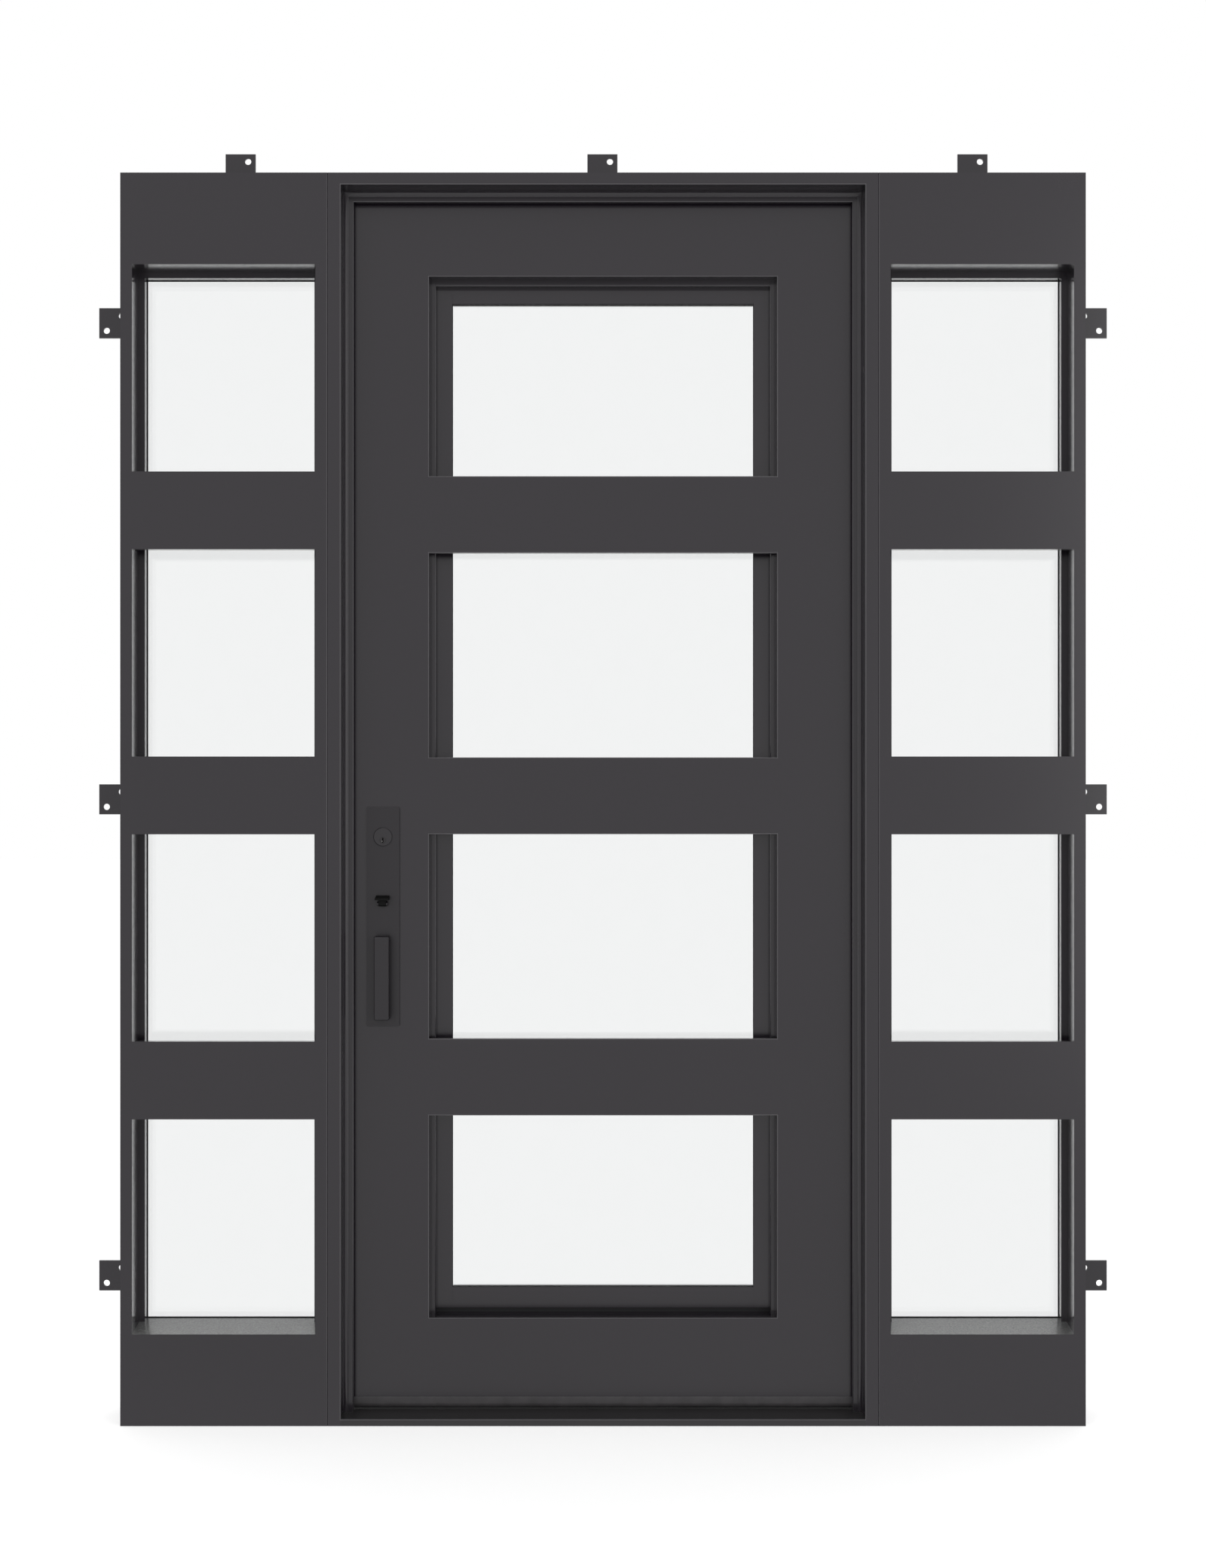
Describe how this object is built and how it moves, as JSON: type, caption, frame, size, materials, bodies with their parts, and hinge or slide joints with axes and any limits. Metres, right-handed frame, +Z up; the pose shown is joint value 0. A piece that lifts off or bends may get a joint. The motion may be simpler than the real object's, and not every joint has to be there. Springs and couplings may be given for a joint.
{
  "type": "entrance door with sidelights",
  "caption": "Inward opening entrance door with barred glass, between fixed barred sidelights, in a charcoal metal frame with fixing tabs, lock plate and pull grip.",
  "frame": {"origin": "underside of the threshold, at the middle of the width and of the frame's depth", "axes": "+X to the right seen from outside, -Y out of the outside face, +Z up"},
  "size_m": [1.7016, 0.147, 2.1278],
  "materials": {
    "frame_paint": "satin charcoal paint",
    "leaf_paint": "satin charcoal paint",
    "sidelight_glass": "clear sealed unit",
    "leaf_glass": "clear sealed unit",
    "tab_steel": "charcoal paint on plate",
    "threshold_metal": "dark satin",
    "seal_rubber": "black rubber",
    "sweep_plastic": "charcoal",
    "lock_plate_metal": "satin black nickel",
    "grip_metal": "satin black nickel",
    "thumb_metal": "satin black",
    "cylinder_metal": "turned dark steel",
    "plug_metal": "turned steel",
    "edge_steel": "brushed",
    "hinge_steel": "dark brushed steel"
  },
  "bodies": {
    "frame": {"frame_head": "frame_paint", "jamb_left": "frame_paint", "jamb_right": "frame_paint", "threshold": "threshold_metal", "frame_stops": "frame_paint", "weather_seals": "seal_rubber", "strike_plate": "edge_steel", "fixing_tabs": "tab_steel", "hinge_jamb_plates": "hinge_steel", "hinge_pins": "hinge_steel", "left_sidelight_outer_stile": "frame_paint", "left_sidelight_inner_stile": "frame_paint", "left_sidelight_top_rail": "frame_paint", "left_sidelight_bottom_rail": "frame_paint", "left_sidelight_bars": "frame_paint", "left_sidelight_front_beads": "frame_paint", "left_sidelight_rear_beads": "frame_paint", "left_sidelight_glass": "sidelight_glass", "right_sidelight_outer_stile": "frame_paint", "right_sidelight_inner_stile": "frame_paint", "right_sidelight_top_rail": "frame_paint", "right_sidelight_bottom_rail": "frame_paint", "right_sidelight_bars": "frame_paint", "right_sidelight_front_beads": "frame_paint", "right_sidelight_rear_beads": "frame_paint", "right_sidelight_glass": "sidelight_glass"},
    "leaf": {"leaf_lock_stile": "leaf_paint", "leaf_hinge_stile": "leaf_paint", "leaf_top_rail": "leaf_paint", "leaf_bottom_rail": "leaf_paint", "leaf_bars": "leaf_paint", "glass_stop_strips": "leaf_paint", "glass_frame": "leaf_paint", "glass_frame_seal": "seal_rubber", "leaf_glass": "leaf_glass", "door_sweep": "sweep_plastic", "lock_edge_plate": "edge_steel", "latch_and_bolt": "edge_steel", "outer_lock_plate": "lock_plate_metal", "lock_cylinder": "cylinder_metal", "outer_pull_grip": "grip_metal", "inner_lock_plate": "lock_plate_metal", "inner_pull_grip": "grip_metal", "inner_turn": "cylinder_metal", "hinge_leaf_plates": "hinge_steel"},
    "thumb_piece": {"thumb_piece": "thumb_metal"},
    "key_plug": {"key_plug": "plug_metal"}
  },
  "joints": [
    {"name": "leaf_swing", "type": "hinge", "parent": "frame", "child": "leaf", "pos_m": [0.43225, 0.067, 1.04], "axis": [0, 0, -1], "range_deg": [0, 110]},
    {"name": "thumb_press", "type": "hinge", "parent": "leaf", "child": "thumb_piece", "pos_m": [-0.371, -0.012, 0.863], "axis": [1, 0, 0], "range_deg": [0, 12], "stiffness_Nm_per_rad": 0.03, "springref_deg": -17.19},
    {"name": "plug_turn", "type": "hinge", "parent": "leaf", "child": "key_plug", "pos_m": [-0.371, -0.0065, 0.9696], "axis": [0, 1, 0], "range_deg": [-90, 90]}
  ]
}
